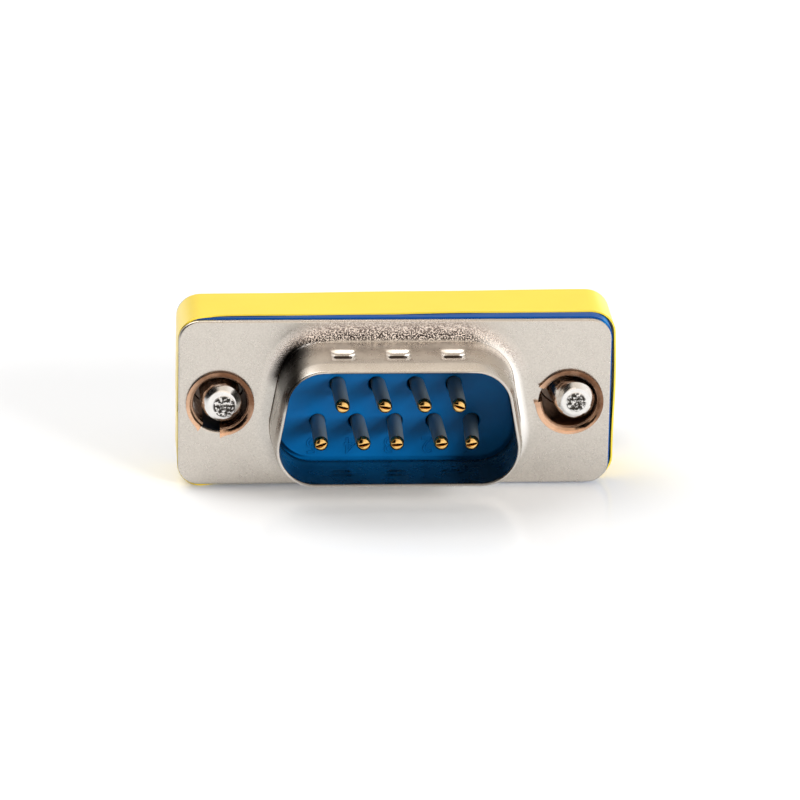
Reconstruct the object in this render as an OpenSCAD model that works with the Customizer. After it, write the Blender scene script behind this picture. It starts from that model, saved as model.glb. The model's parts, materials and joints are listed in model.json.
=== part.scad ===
// Nine-way D-sub adapter: a pin plug in front and a socket behind, back to back on a flat body.
// Plug towards -Y, +Z up. Origin under the middle of the body, halfway between the flanges.
// Each half is built in its own frame: x across, y up, z out towards the mate, z = 0 on the flange face.

/* [Flanges] */
// Flat metal left between each eyelet's lip and the flange's end
flange_rim = 0.5; // [0.3:0.05:2]
// Height of each steel flange
flange_h = 12.5; // [12:0.1:15]
// Corner radius of the flanges
flange_corner_r = 1.5; // [1:0.1:3]
// Thickness of the shell's sheet steel
sheet_t = 0.4; // [0.3:0.05:0.5]
// Flat metal left between the shroud's root fillet and each eyelet's lip
flange_flat = 0.35; // [0.25:0.05:1]

/* [Plug shroud] */
// Inside width of the shroud, at its wide side
shroud_w = 16.9; // [16:0.1:17.2]
// Inside height of the shroud
shroud_h = 8.4; // [8:0.1:8.6]
// Height of the shroud's rim above the flange face
shroud_depth = 5.2; // [4.9:0.1:6.5]
// Lean of the shroud's two sides, in degrees
side_angle = 10; // [5:1:12]
// Inside radius of the shroud's corners
shroud_corner_r = 2.6; // [2:0.1:2.8]
// Radius of the drawn fillet where the shroud leaves the flange
root_fillet_r = 0.9; // [0.5:0.05:0.9]

/* [Grounding dimples] */
// Dimples along each long wall of the shroud
dimple_count = 3; // [1:1:3]
// Distance from one dimple to the next
dimple_pitch = 3.9; // [3.6:0.1:4.2]
// Distance from the flange face to the dimples' middle
dimple_height = 2.6; // [2:0.1:3.5]
// Length of each dimple's opening along the wall
dimple_len = 1.9; // [1.6:0.1:2.2]
// Width of each dimple's opening
dimple_w = 1.5; // [1.2:0.1:1.8]
// Depth of each dimple
dimple_depth = 0.45; // [0.3:0.05:0.5]

/* [Socket] */
// Gap between the socket's shell and the shroud of a plug that goes over it
mating_gap = 0.28; // [0.2:0.02:0.35]
// Height of the socket's rim above the rear flange's face
socket_depth = 6; // [5.7:0.1:6.3]
// How far the plastic's face lies below the socket's rim
face_recess = 0.15; // [0.1:0.05:0.4]
// Outside diameter of each contact's barrel
barrel_d = 1.6; // [1.5:0.05:1.8]
// Bore of the barrels
barrel_bore = 1.06; // [1.04:0.02:1.16]
// Depth of the barrels' bore
barrel_depth = 5.5; // [5:0.1:6]
// Plastic left over the mouths of the barrels
mouth_wall = 0.7; // [0.5:0.05:1]
// Diameter of the hole that guides each pin in
mouth_d = 1.2; // [1.15:0.05:1.4]
// Chamfer round each guide hole
mouth_flare = 0.25; // [0.1:0.05:0.4]

/* [Body] */
// Distance between the outer faces of the two flanges
body_depth = 5.6; // [5.2:0.1:7]
// How far the plastic body stands out past the flanges all round
body_overhang = 0.1; // [0.05:0.05:0.3]
// Clearance between the plastic nose and the shroud's wall
nose_clearance = 0.05; // [0.02:0.01:0.1]

/* [Contacts] */
// Diameter of each contact pin
pin_d = 1; // [0.9:0.01:1.05]
// Height of the pin tips above the flange face
pin_height = 4.7; // [4:0.1:5]
// Distance from one pin to the next in a row
pin_pitch = 2.77; // [2.7:0.01:2.8]
// Distance between the two rows of pins
row_spacing = 2.84; // [2.7:0.01:2.9]
// Radius of the pin's rounded nose
nose_r = 0.38; // [0.2:0.01:0.42]
// Width of the seam across the folded tip
seam_w = 0.09; // [0.06:0.01:0.15]
// Length of the seam, from the tip
seam_len = 1; // [0.5:0.1:2]
// Clearance between each contact and its bores
pin_clearance = 0.05; // [0.02:0.01:0.1]
// Chamfer at each bore's mouth, on the nose's face
bore_chamfer = 0.06; // [0.04:0.01:0.12]

/* [Eyelets] */
// Inside diameter of the split eyelet
eyelet_d = 3.86; // [3.7:0.02:4]
// Wall of the eyelet
eyelet_wall = 0.26; // [0.2:0.02:0.3]
// Diameter of its rolled lips
lip_d = 4.8; // [4.7:0.1:5.2]
// How far each lip stands above its flange
lip_height = 0.3; // [0.2:0.05:0.4]
// Opening of the split, in degrees
split_angle = 34; // [20:1:60]
// Direction of the left eyelet's split, seen from the front, in degrees
left_split_dir = 251; // [0:1:359]
// Direction of the right eyelet's split, seen from the front, in degrees
right_split_dir = 165; // [0:1:359]
// Clearance between an eyelet and the holes that it passes through
eyelet_clearance = 0.03; // [0.02:0.01:0.1]
// Length of the necked end behind which the retaining ring stops
neck_len = 0.7; // [0.5:0.1:1]

/* [Jackscrews] */
// Outside diameter of the screw's thread and shank
screw_d = 2.84; // [2.7:0.02:2.9]
// Height of the screw's tip above the front flange
tip_height = 0.3; // [0.2:0.05:1.2]
// Diameter of the flat end of the tip
tip_end_d = 2.05; // [1.8:0.05:2.3]
// Length of the tip's chamfer
tip_chamfer = 0.4; // [0.3:0.05:0.5]
// How far the screw slides forward
travel = 3; // [2.6:0.1:3.4]
// Width of the hexagonal head across its flats
hex_af = 4.75; // [4.5:0.05:5]
// Length of the hexagonal head
head_len = 4.7; // [4.5:0.1:6]
// Diameter of the tapped hole in the head
tapped_d = 2.26; // [2.1:0.02:2.4]
// Depth of the tapped hole
tapped_depth = 4; // [3:0.1:4.2]
// Chamfer at the tapped hole's mouth
mouth_chamfer = 0.3; // [0.1:0.05:0.4]
// Running clearance of the screw in the necked end
screw_clearance = 0.07; // [0.05:0.01:0.1]

/* [Retaining rings] */
// Thickness of the ring along the screw
ring_t = 0.5; // [0.4:0.05:0.6]
// Depth of the ring's groove in the screw
groove_depth = 0.32; // [0.2:0.02:0.4]
// Opening of the ring, in degrees
ring_gap_angle = 50; // [30:1:90]
// Turn from the eyelet's split to the ring's gap, in degrees
ring_turn = 180; // [90:1:270]
// Running clearance of the ring, in its groove and in the eyelet
ring_clearance = 0.05; // [0.03:0.01:0.1]

/* [Label] */
// Width of the wrapped label
label_w = 4.3; // [3.5:0.1:4.4]
// Thickness of the label
label_t = 0.12; // [0.1:0.02:0.3]
// How far the middle of the label lies behind the middle of the body
label_offset = 0.4; // [0.2:0.05:0.5]
// How far out of square the label was wrapped, in degrees
label_skew = 1.3; // [0:0.1:1.5]

/* [Hidden] */
$fn = 64;

// Level of the parting plane between the two halves, in each half's frame
mid_z = -body_depth / 2;
// Height of the common centre line above the bottom of the label
centre_z = flange_h / 2 + body_overhang + label_t;

screw_spacing = shroud_w + 2 * (sheet_t + root_fillet_r + flange_flat) + lip_d;
flange_w = screw_spacing + lip_d + 2 * flange_rim;
// How far each cut runs past the solid that it cuts
cut_over = sheet_t;

wall_foot = sheet_t / 2;
// Inside corner radius of the socket's shell, which shares the plug's corner centres
socket_corner_r = shroud_corner_r - mating_gap - sheet_t;
socket_face_z = socket_depth - face_recess;
// Height of the centres of the shroud's corner arcs above and below the middle
corner_y = shroud_h / 2 - shroud_corner_r;
corner_x_wide = shroud_w / 2 - shroud_corner_r;
corner_x_narrow = corner_x_wide - 2 * corner_y * tan(side_angle);
// Corner centres, anticlockwise from the lower right, and the direction of the wall after each
corner_centres = [
    [corner_x_wide, -corner_y], [corner_x_narrow, corner_y],
    [-corner_x_narrow, corner_y], [-corner_x_wide, -corner_y],
];
wall_dirs = [side_angle, 90, 180 - side_angle, 270];

body_w = flange_w + 2 * body_overhang;
body_h = flange_h + 2 * body_overhang;
body_corner_r = flange_corner_r + body_overhang;

// A dimple is a capsule sunk into the wall from outside
pocket_r = (sq(dimple_w / 2) + sq(dimple_depth)) / (2 * dimple_depth);
pocket_lift = pocket_r - dimple_depth;
bulge_r = pocket_r + sheet_t;

pin_r = pin_d / 2;
pin_bore_r = pin_r + pin_clearance;
barrel_r = barrel_d / 2;
// Length of the barrels from the parting plane
barrel_len = socket_face_z - mouth_wall - pin_clearance - mid_z;
wide_row = [for (i = [-2:2]) -i * pin_pitch];
narrow_row = [for (i = [-1.5:1.5]) -i * pin_pitch];

eyelet_r = eyelet_d / 2;
eyelet_outer_r = eyelet_r + eyelet_wall;
eyelet_hole_r = eyelet_outer_r + eyelet_clearance;
neck_r = screw_d / 2 + screw_clearance;

screw_r = screw_d / 2;
// Levels along the screw, in the front plug's frame
neck_z = -body_depth + neck_len;
tip_z = tip_height;
ring_z = neck_z + ring_clearance;
head_z = -body_depth - lip_height - travel;
// The shank runs into the head, halfway to the tapped hole's end
shank_root_z = head_z - (head_len - tapped_depth) / 2;

function sq(a) = a * a;

// Frames of the plug and the socket
module at_front() {
    translate([0, mid_z, centre_z]) rotate([90, 0, 0]) children();
}

module at_rear() {
    rotate([0, 0, 180]) at_front() children();
}

// Moves to a screw's axis, side -1 on the left and 1 on the right
module at_screw(side) {
    translate([side * screw_spacing / 2, 0, 0]) children();
}

module rounded_outline(w, h, r) {
    square([w - 2 * r, h], center = true);
    square([w, h - 2 * r], center = true);
    for (x = [-1, 1], y = [-1, 1])
        translate([x * (w / 2 - r), y * (h / 2 - r)]) circle(r);
}

// The D outline at a distance r from its corner centres
module d_outline(r) {
    function at(i, dir) = corner_centres[i] + r * [cos(dir), sin(dir)];
    polygon([for (i = [0:3]) each [at(i, wall_dirs[(i + 3) % 4]), at(i, wall_dirs[i])]]);
    for (c = corner_centres) translate(c) circle(r);
}

// ---------- Shells ----------

function root_r(inner_r) = inner_r + sheet_t + root_fillet_r;

// Section of a drawn wall: x outwards from a corner's centre, y up from the flange face.
// Its flat foot laps into the flange plate.
module wall_section(inner_r, depth) {
    root_r = root_r(inner_r);
    translate([root_r, -sheet_t]) square([wall_foot, sheet_t]);
    translate([inner_r, root_fillet_r]) square([sheet_t, depth - root_fillet_r - sheet_t / 2]);
    translate([inner_r + sheet_t / 2, depth - sheet_t / 2]) circle(sheet_t / 2);
    translate([root_r, root_fillet_r]) intersection() {
        difference() {
            circle(root_fillet_r + sheet_t);
            circle(root_fillet_r);
        }
        translate([-root_r, -root_r]) square(root_r);
    }
}

// The wall along the four straight sides, and turned round the four corners
module shroud_wall(inner_r, depth) {
    for (i = [0:3]) {
        from = corner_centres[i];
        to = corner_centres[(i + 1) % 4];
        dir_before = wall_dirs[(i + 3) % 4] - (i == 0 ? 360 : 0);
        translate(to) rotate([90, 0, wall_dirs[i]]) linear_extrude(norm(to - from))
            wall_section(inner_r, depth);
        translate(from) rotate([0, 0, dir_before])
            rotate_extrude(angle = wall_dirs[i] - dir_before) wall_section(inner_r, depth);
    }
}

module flange_plate(inner_r) {
    translate([0, 0, -sheet_t]) linear_extrude(sheet_t) difference() {
        rounded_outline(flange_w, flange_h, flange_corner_r);
        d_outline(root_r(inner_r) + wall_foot / 2);
        for (side = [-1, 1]) at_screw(side) circle(eyelet_hole_r);
    }
}

// A capsule along x whose middle lies above a long wall's outer face, y = 1 top or -1 bottom
module dimple_capsule(r, y) {
    straight = dimple_len - dimple_w;
    y_axis = y * (shroud_h / 2 + sheet_t + pocket_lift);
    for (i = [0:dimple_count - 1])
        translate([(i - (dimple_count - 1) / 2) * dimple_pitch, y_axis, dimple_height])
            rotate([0, 90, 0]) rotate_extrude() intersection() {
                union() {
                    for (s = [-1, 1]) translate([0, s * straight / 2]) circle(r);
                    square([2 * r, straight], center = true);
                }
                translate([0, -r - straight]) square([2 * r, 2 * (r + straight)]);
            }
}

module plug_shell() {
    wall_h = shroud_h / 2;
    difference() {
        union() {
            flange_plate(shroud_corner_r);
            shroud_wall(shroud_corner_r, shroud_depth);
            for (y = [-1, 1]) intersection() {
                dimple_capsule(bulge_r, y);
                translate([-shroud_w / 2, min(y * wall_h, y * (wall_h - bulge_r)), 0])
                    cube([shroud_w, bulge_r, shroud_depth]);
            }
        }
        for (y = [-1, 1]) dimple_capsule(pocket_r, y);
    }
}

module front_shell() { color("silver") at_front() plug_shell(); }
module rear_shell() {
    color("silver") at_rear() {
        flange_plate(socket_corner_r);
        shroud_wall(socket_corner_r, socket_depth);
    }
}

// ---------- Insulators ----------

// Half of the body with its D-shaped nose, and a row of bores for each row of contacts
module insulator(nose_r, nose_z) {
    block_h = -mid_z - sheet_t;
    difference() {
        union() {
            translate([0, 0, mid_z]) linear_extrude(block_h)
                rounded_outline(body_w, body_h, body_corner_r);
            translate([0, 0, mid_z]) linear_extrude(nose_z - mid_z)
                d_outline(nose_r - nose_clearance);
        }
        for (x = wide_row) translate([x, -row_spacing / 2, 0]) children();
        for (x = narrow_row) translate([x, row_spacing / 2, 0]) children();
        for (side = [-1, 1]) at_screw(side)
            translate([0, 0, mid_z - cut_over])
                cylinder(h = block_h + 2 * cut_over, r = eyelet_hole_r);
    }
}

// A bore of radius r up to a level, then a mouth in the face at face_z with a chamfer
module stepped_bore(r, to, mouth_r, face_z, flare) {
    rotate_extrude() polygon([
        [0, mid_z - cut_over], [r, mid_z - cut_over], [r, to], [mouth_r, to],
        [mouth_r, face_z - flare], [mouth_r + flare, face_z],
        [mouth_r + flare, face_z + cut_over], [0, face_z + cut_over],
    ]);
}

module pin_bore() {
    stepped_bore(pin_bore_r, mid_z / 2, pin_bore_r, 0, bore_chamfer);
}

module barrel_bore() {
    stepped_bore(barrel_r + pin_clearance, socket_face_z - mouth_wall, mouth_d / 2, socket_face_z,
        mouth_flare);
}

module front_insulator() {
    color("royalblue") at_front() insulator(shroud_corner_r, 0) pin_bore();
}
module rear_insulator() {
    color("royalblue") at_rear() insulator(socket_corner_r, socket_face_z) barrel_bore();
}

// ---------- Label ----------

module label_band() {
    reach = body_w + body_h;
    color("gold") at_front() intersection() {
        translate([0, 0, -body_depth]) linear_extrude(body_depth) difference() {
            rounded_outline(body_w + 2 * label_t, body_h + 2 * label_t, body_corner_r + label_t);
            rounded_outline(body_w, body_h, body_corner_r);
        }
        translate([0, 0, mid_z - label_offset]) rotate([0, label_skew, 0])
            cube([reach, reach, label_w], center = true);
    }
}

// ---------- Contacts ----------

// Section of a contact: x out from its axis, y along it, up from the parting plane to the tip
module contact_section() {
    length = pin_height - mid_z;
    square([pin_r - nose_r, length]);
    square([pin_r, length - nose_r]);
    translate([pin_r - nose_r, length - nose_r]) intersection() {
        circle(nose_r);
        square(nose_r);
    }
    translate([0, barrel_depth - barrel_len]) square([barrel_r, barrel_len - barrel_depth]);
    translate([barrel_bore / 2, -barrel_len]) square([barrel_r - barrel_bore / 2, barrel_len]);
}

// A contact at x, y: a rolled pin with a folded tip in front, and a slit barrel behind
module contact(x, y) {
    color("goldenrod") at_front() translate([x, y, mid_z]) difference() {
        rotate_extrude() contact_section();
        translate([-pin_d, -seam_w / 2, pin_height - mid_z - seam_len])
            cube([2 * pin_d, seam_w, 2 * seam_len]);
        translate([-barrel_d, -seam_w / 2, -barrel_len - cut_over])
            cube([2 * barrel_d, seam_w, barrel_depth / 2 + cut_over]);
    }
}

module wide_contact(n) { contact(wide_row[n - 1], -row_spacing / 2); }
module narrow_contact(n) { contact(narrow_row[n - 6], row_spacing / 2); }

// ---------- Eyelets ----------

// Section of the eyelet: x out from the axis, y along it, up from the rear flange's outer face
module eyelet_section() {
    front = body_depth;
    translate([eyelet_r, -lip_height]) square([eyelet_wall, front + 2 * lip_height]);
    translate([eyelet_r, front]) lip_section();
    mirror([0, 1]) translate([eyelet_r, 0]) lip_section();
    translate([neck_r, 0]) square([eyelet_outer_r - neck_r, neck_len]);
}

// The lip that is rolled over a flange: it rests on the flange's face and is rounded outside
module lip_section() {
    over = lip_d / 2 - eyelet_r;
    square([over - lip_height / 2, lip_height]);
    translate([over - lip_height / 2, lip_height / 2]) circle(lip_height / 2);
}

module eyelet(side, split_dir) {
    color("peru") at_front() at_screw(side) translate([0, 0, -body_depth])
        rotate([0, 0, split_dir + split_angle / 2])
            rotate_extrude(angle = 360 - split_angle) eyelet_section();
}

// ---------- Jackscrews and their rings ----------

module retaining_ring(side, split_dir) {
    inner_r = screw_r - groove_depth + ring_clearance;
    color("dimgray") at_front() at_screw(side) translate([0, 0, ring_z])
        rotate([0, 0, split_dir + ring_turn + ring_gap_angle / 2])
            rotate_extrude(angle = 360 - ring_gap_angle)
                translate([inner_r, 0]) square([eyelet_r - ring_clearance - inner_r, ring_t]);
}

module shank() {
    groove_z = ring_z - ring_clearance;
    groove_w = ring_t + 2 * ring_clearance;
    rotate_extrude() difference() {
        polygon([
            [0, shank_root_z], [screw_r, shank_root_z], [screw_r, tip_z - tip_chamfer],
            [tip_end_d / 2, tip_z], [0, tip_z],
        ]);
        translate([screw_r - groove_depth, groove_z]) square([groove_depth + cut_over, groove_w]);
    }
}

// Hexagonal head with its corners turned off at both ends and a tapped hole from behind
module hex_head() {
    across_corners = hex_af / cos(30);
    corner_cut = (across_corners - hex_af) / 2;
    back_z = head_z - head_len;
    difference() {
        intersection() {
            translate([0, 0, back_z]) cylinder(h = head_len, d = across_corners, $fn = 6);
            translate([0, 0, back_z]) rotate_extrude() polygon([
                [0, 0], [hex_af / 2, 0], [hex_af / 2 + corner_cut, corner_cut * tan(30)],
                [hex_af / 2 + corner_cut, head_len - corner_cut * tan(30)],
                [hex_af / 2, head_len], [0, head_len],
            ]);
        }
        translate([0, 0, back_z]) rotate_extrude() polygon([
            [0, -cut_over], [tapped_d / 2 + mouth_chamfer, -cut_over],
            [tapped_d / 2 + mouth_chamfer, 0], [tapped_d / 2, mouth_chamfer],
            [tapped_d / 2, tapped_depth], [0, tapped_depth],
        ]);
    }
}

module jackscrew(side) {
    color("gainsboro") at_front() at_screw(side) {
        shank();
        hex_head();
    }
}

front_shell();
rear_shell();
front_insulator();
rear_insulator();
label_band();
eyelet(-1, left_split_dir);  // left_eyelet
eyelet(1, right_split_dir);  // right_eyelet
wide_contact(1);  // contact_1
wide_contact(2);  // contact_2
wide_contact(3);  // contact_3
wide_contact(4);  // contact_4
wide_contact(5);  // contact_5
narrow_contact(6);  // contact_6
narrow_contact(7);  // contact_7
narrow_contact(8);  // contact_8
narrow_contact(9);  // contact_9
retaining_ring(-1, left_split_dir);  // left_retaining_ring
retaining_ring(1, right_split_dir);  // right_retaining_ring
jackscrew(-1);  // left_jackscrew
jackscrew(1);  // right_jackscrew
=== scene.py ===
# %% [markdown]
# # A D-sub adapter, plug to socket
#
# This script dresses the solid model of a small nine-way adapter: a plug with pins in front, a
# socket behind, a blue moulded body between their flanges, a yellow film label round it, two
# jackscrews loose in copper eyelets, and nine gold contacts that run right through. The solid
# model is the frame: it gives the main sizes and places. Here each visible piece gets its real
# surface, with Blender's own modelling tools, and a finish made of shader nodes. Lengths are
# in metres, and most are written in millimetres times MM.

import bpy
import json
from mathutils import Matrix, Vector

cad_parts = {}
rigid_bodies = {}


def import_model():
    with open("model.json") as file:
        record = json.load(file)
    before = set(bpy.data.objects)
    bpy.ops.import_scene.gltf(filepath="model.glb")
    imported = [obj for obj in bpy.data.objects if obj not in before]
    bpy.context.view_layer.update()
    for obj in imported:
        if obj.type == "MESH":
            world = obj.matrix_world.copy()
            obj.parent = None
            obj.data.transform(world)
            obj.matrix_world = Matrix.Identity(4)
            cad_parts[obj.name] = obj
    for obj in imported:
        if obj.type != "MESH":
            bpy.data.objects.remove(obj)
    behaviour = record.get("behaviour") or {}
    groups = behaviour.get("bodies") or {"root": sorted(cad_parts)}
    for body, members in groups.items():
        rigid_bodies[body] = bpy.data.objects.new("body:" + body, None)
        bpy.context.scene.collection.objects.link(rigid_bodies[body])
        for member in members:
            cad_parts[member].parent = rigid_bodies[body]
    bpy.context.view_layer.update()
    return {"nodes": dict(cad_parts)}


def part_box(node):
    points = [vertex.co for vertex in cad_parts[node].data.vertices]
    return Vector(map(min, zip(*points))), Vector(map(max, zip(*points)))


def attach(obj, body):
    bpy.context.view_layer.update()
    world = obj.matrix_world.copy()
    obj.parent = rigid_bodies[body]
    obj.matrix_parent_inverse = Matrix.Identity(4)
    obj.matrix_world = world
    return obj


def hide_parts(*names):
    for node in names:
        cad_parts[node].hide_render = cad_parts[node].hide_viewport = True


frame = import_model()

# %% [markdown]
# ## Sizes that the pieces share
#
# The boxes of the solids give most sizes: how far apart the flanges are, how high the middle line
# lies, where the screws stand. The few that a box can't show, such as the bend radius of the
# drawn sheet, are written down once in millimetres. Naming them first keeps later cells short.

# %% Sizes and places
import math
import bpy
from mathutils import Matrix, Vector

MM = 0.001
shell_low, shell_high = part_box("front_shell")
ins_low, ins_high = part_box("front_insulator")
rear_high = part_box("rear_shell")[1]
label_low, label_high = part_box("label_band")

CENTRE_Z = (shell_low.z + shell_high.z) / 2
FLANGE_Y = ins_low.y
FLANGE_W = shell_high.x - shell_low.x
FLANGE_H = shell_high.z - shell_low.z
BODY_W = ins_high.x - ins_low.x
BODY_H = ins_high.z - ins_low.z
PLUG_RIM = FLANGE_Y - shell_low.y
SOCKET_RIM = rear_high.y + FLANGE_Y
SCREW_X = sum(v.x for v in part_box("right_jackscrew")) / 2
SHEET = 0.4 * MM
PLUG_CORNER = 2.6 * MM
SOCKET_CORNER = 1.92 * MM
SHROUD_W = 16.9 * MM
SHROUD_H = 8.4 * MM
LEAN = math.radians(10)
print("flange", round(FLANGE_W / MM, 2), "x", round(FLANGE_H / MM, 2))
print("rims", round(PLUG_RIM / MM, 2), "and", round(SOCKET_RIM / MM, 2), "above the flanges")
print("screws at", round(SCREW_X / MM, 2), "middle line at", round(CENTRE_Z / MM, 2))

# %% [markdown]
# ## Moves that every piece uses
#
# All the pieces are modelled flat on the floor of their own frame: x across the plug, y up its
# face, z out towards the mate. When a piece is ready it is stood up by one matrix, which is put
# into its mesh, so that its object stays at the origin. A line is drawn as by hand, point by
# point with extrude, and a section becomes a surface by extruding or spinning it along its path.

# %% Helpers for drawing
STAND_FRONT = Matrix.Translation((0, FLANGE_Y, CENTRE_Z)) @ Matrix.Rotation(math.pi / 2, 4, "X")
STAND_REAR = Matrix.Rotation(math.pi, 4, "Z") @ STAND_FRONT


def mode(name):
    bpy.ops.object.mode_set(mode=name)


def select_none():
    if bpy.context.object and bpy.context.object.mode != "OBJECT":
        mode("OBJECT")
    bpy.ops.object.select_all(action="DESELECT")


def pick(obj):
    select_none()
    obj.select_set(True)
    bpy.context.view_layer.objects.active = obj


def begin_line(name, point):
    """A new mesh of one vertex, left in edit mode with the vertex selected."""
    select_none()
    bpy.ops.mesh.primitive_plane_add(size=MM, location=(0, 0, 0))
    obj = bpy.context.object
    obj.name = obj.data.name = name
    mode("EDIT")
    bpy.ops.mesh.select_mode(type="VERT")
    bpy.ops.mesh.select_all(action="SELECT")
    bpy.ops.mesh.merge(type="CENTER")
    bpy.ops.transform.translate(value=point)
    return obj


def add_vertex(point):
    """One more loose vertex in the mesh that is being edited, selected alone."""
    bpy.ops.mesh.select_all(action="DESELECT")
    bpy.ops.mesh.primitive_plane_add(size=MM, location=(0, 0, 0))
    bpy.ops.mesh.merge(type="CENTER")
    bpy.ops.transform.translate(value=point)


def extrude(step):
    bpy.ops.mesh.extrude_region_move(TRANSFORM_OT_translate={"value": step})


def draw(points):
    """Extrudes the selected vertex from point to point."""
    for here, there in zip(points, points[1:]):
        extrude(Vector(there) - Vector(here))


def spin(centre, axis, angle, steps):
    bpy.ops.mesh.spin(steps=steps, angle=angle, center=centre, axis=axis)


def arc(centre, radius, start, end, steps):
    """Points (r, z) along an arc, angles in degrees."""
    return [
        (
            centre[0] + radius * math.cos(math.radians(start + (end - start) * i / steps)),
            centre[1] + radius * math.sin(math.radians(start + (end - start) * i / steps)),
        )
        for i in range(steps + 1)
    ]


def weld(distance=1e-6):
    bpy.ops.mesh.select_all(action="SELECT")
    bpy.ops.mesh.remove_doubles(threshold=distance)


def select_by(obj, kind, test):
    """Selects in edit mode the faces, edges or verts for which test is true."""
    mode("OBJECT")
    mode("EDIT")
    bpy.ops.mesh.select_mode(type={"polygons": "FACE", "edges": "EDGE", "vertices": "VERT"}[kind])
    bpy.ops.mesh.select_all(action="DESELECT")
    mode("OBJECT")
    count = 0
    for item in getattr(obj.data, kind):
        if test(item):
            item.select = True
            count += 1
    mode("EDIT")
    return count


def settle(obj, stand, smooth=35):
    """Recalculates the normals, stands the piece up in its place and shades it."""
    if bpy.context.object.mode != "EDIT":
        mode("EDIT")
    bpy.ops.mesh.select_all(action="SELECT")
    bpy.ops.mesh.normals_make_consistent(inside=False)
    mode("OBJECT")
    pick(obj)
    obj.data.transform(stand)
    obj.data.update()
    bpy.ops.object.shade_smooth_by_angle(angle=math.radians(smooth))
    print(obj.name, "has", len(obj.data.polygons), "faces")
    return obj


# %% [markdown]
# ## The steel shells
#
# Each shell is one piece of nickel-plated sheet, drawn in a press: a flat flange, a small fillet,
# and a D-shaped shroud whose rim is rounded. It could be a solid with bevels, but a pressed sheet
# is the same section all the way round, so the section is drawn once as a line and swept: spun
# round the centre of each corner and extruded along each side. The flange's outer edge and its
# two holes are swept in the same way, and the flat metal between the three is filled in.

# %% The D path and the wall's section
corner_y = SHROUD_H / 2 - PLUG_CORNER
wide_x = SHROUD_W / 2 - PLUG_CORNER
narrow_x = wide_x - 2 * corner_y * math.tan(LEAN)
D_CORNERS = [
    Vector((wide_x, -corner_y, 0)), Vector((narrow_x, corner_y, 0)),
    Vector((-narrow_x, corner_y, 0)), Vector((-wide_x, -corner_y, 0)),
]
D_DIRS = [LEAN, math.pi / 2, math.pi - LEAN, 3 * math.pi / 2]
FLAT = 0.04 * MM
TAPER_LEN, RIM_R = 1.1 * MM, 0.11 * MM
DRAFT, DRAFT_END = 0.14 * MM, 4.0 * MM
ROOT_OUT, ROOT_UP = 1.22 * MM, 0.38 * MM
DIMPLE_Z, DIMPLE_L, DIMPLE_W, DIMPLE_PITCH = 2.6 * MM, 2.1 * MM, 2.2 * MM, 3.9 * MM


def draft(z):
    """A drawn wall leans out a little towards its root, so that it leaves the punch."""
    return DRAFT * min(1, max(0, 1 - z / DRAFT_END))


def cove(centre, half_r, half_z, start, end, steps):
    """A quarter of an oval: the metal rises slowly from the flange, and turns sharply up."""
    return [(centre[0] + a * half_r, centre[1] + b * half_z) for a, b in arc((0, 0), 1, start, end, steps)]


def wall_line(inner, rim):
    """The drawn wall's section as (r, z): foot, fillet, outer wall, rim, inner wall, bend, foot."""
    outer = inner + SHEET
    root = outer + draft(ROOT_UP) + ROOT_OUT
    bend = root - inner - draft(ROOT_UP)
    rows = [DIMPLE_Z + DIMPLE_W * (k / ROWS - 0.5) for k in range(ROWS + 1)]
    return (
        [(root + FLAT, 0)]
        + cove((root, ROOT_UP), ROOT_OUT, ROOT_UP, 270, 180, 12)
        + [(outer + draft(z), z) for z in rows] + [(outer, rim - TAPER_LEN - 0.1 * MM)]
        + [(outer - 0.01 * MM, rim - TAPER_LEN + 0.1 * MM), (inner + 2 * RIM_R, rim - RIM_R)]
        + arc((inner + RIM_R, rim - RIM_R), RIM_R, 20, 180, 6)
        + [(inner, rim - 0.4 * MM)] + [(inner + draft(z), z) for z in reversed(rows)]
        + cove((root, ROOT_UP), bend, ROOT_UP + SHEET, 180, 270, 9)
        + [(root + FLAT, -SHEET)]
    )


ROWS, COLUMNS = 22, 12
dimple_marks = sorted(
    i * DIMPLE_PITCH + DIMPLE_L * (k / COLUMNS - 0.5)
    for i in (-1, 0, 1) for k in range(COLUMNS + 1)
)
print("the section has", len(wall_line(PLUG_CORNER, PLUG_RIM)), "points")


# %% Sweeping the wall round the D
def side_steps(i):
    """The steps along one side of the D: the long sides get an edge at each end of a dimple."""
    start, end = D_CORNERS[i], D_CORNERS[(i + 1) % 4]
    if i % 2 == 0:
        return [end - start]
    way = 1 if end.x > start.x else -1
    stops = [start.x] + dimple_marks[::way] + [end.x]
    return [Vector((b - a, 0, 0)) for a, b in zip(stops, stops[1:])]


def sweep_wall(name, inner, rim):
    """The wall's section, set out along the last side's direction, then swept anticlockwise."""
    out = Vector((math.cos(D_DIRS[3]), math.sin(D_DIRS[3]), 0))
    points = [D_CORNERS[0] + out * r + Vector((0, 0, z)) for r, z in wall_line(inner, rim)]
    obj = begin_line(name, points[0])
    draw(points)
    mode("OBJECT")
    mode("EDIT")
    bpy.ops.mesh.select_all(action="SELECT")
    before = D_DIRS[3] - 2 * math.pi
    for i in range(4):
        spin(D_CORNERS[i], (0, 0, -1), D_DIRS[i] - before, 14)
        for step in side_steps(i):
            extrude(step)
        before = D_DIRS[i]
    weld()
    return obj


# %% The flange's edge and the holes
EDGE_ROLL = 0.13 * MM
LEFT_EXTRA = 0.08 * MM
FLANGE_R = 1.5 * MM
EYELET_HOLE_R = 2.22 * MM
edge_line = (
    [(-0.2 * MM, 0)]
    + [(-EDGE_ROLL - FLAT, 0)]
    + arc((-EDGE_ROLL, -EDGE_ROLL), EDGE_ROLL, 90, 0, 5)
    + [(0, -SHEET + 0.03 * MM), (-0.03 * MM, -SHEET), (-0.2 * MM, -SHEET)]
)
hole_line = [
    (0.15 * MM, 0), (0.06 * MM, 0), (0.02 * MM, -0.02 * MM), (0, -0.06 * MM),
    (0, -SHEET), (0.15 * MM, -SHEET),
]


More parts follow.
